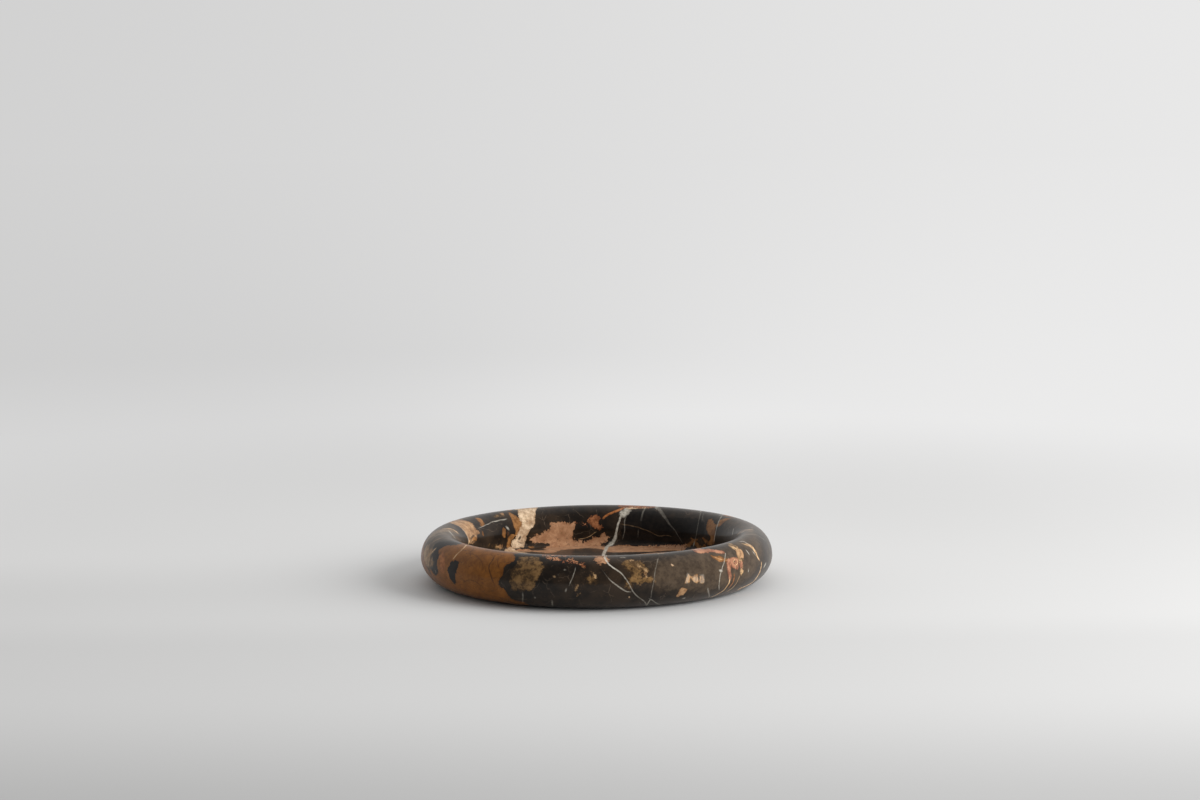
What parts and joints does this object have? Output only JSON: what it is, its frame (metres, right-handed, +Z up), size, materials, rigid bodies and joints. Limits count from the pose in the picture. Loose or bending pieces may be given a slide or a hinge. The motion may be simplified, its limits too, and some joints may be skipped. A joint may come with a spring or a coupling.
{
  "type": "stone tray",
  "caption": "Round dish-shaped tray turned from one dark veined marble slab, with a fat rounded rim, on thin anti-slip pads.",
  "frame": {"origin": "on the surface that the tray stands on, under its centre", "axes": "+Z up along the tray's axis; -Y faces the viewer of the picture, and +X is to that viewer's right"},
  "size_m": [0.2, 0.2, 0.029],
  "materials": {
    "marble": "honed dark brown-black marble with gold, tan and white veins",
    "pad": "matt anti-slip rubber"
  },
  "bodies": {
    "root": {"stone_body": "marble", "foot_pad_1": "pad", "foot_pad_2": "pad", "foot_pad_3": "pad", "foot_pad_4": "pad"}
  },
  "joints": []
}
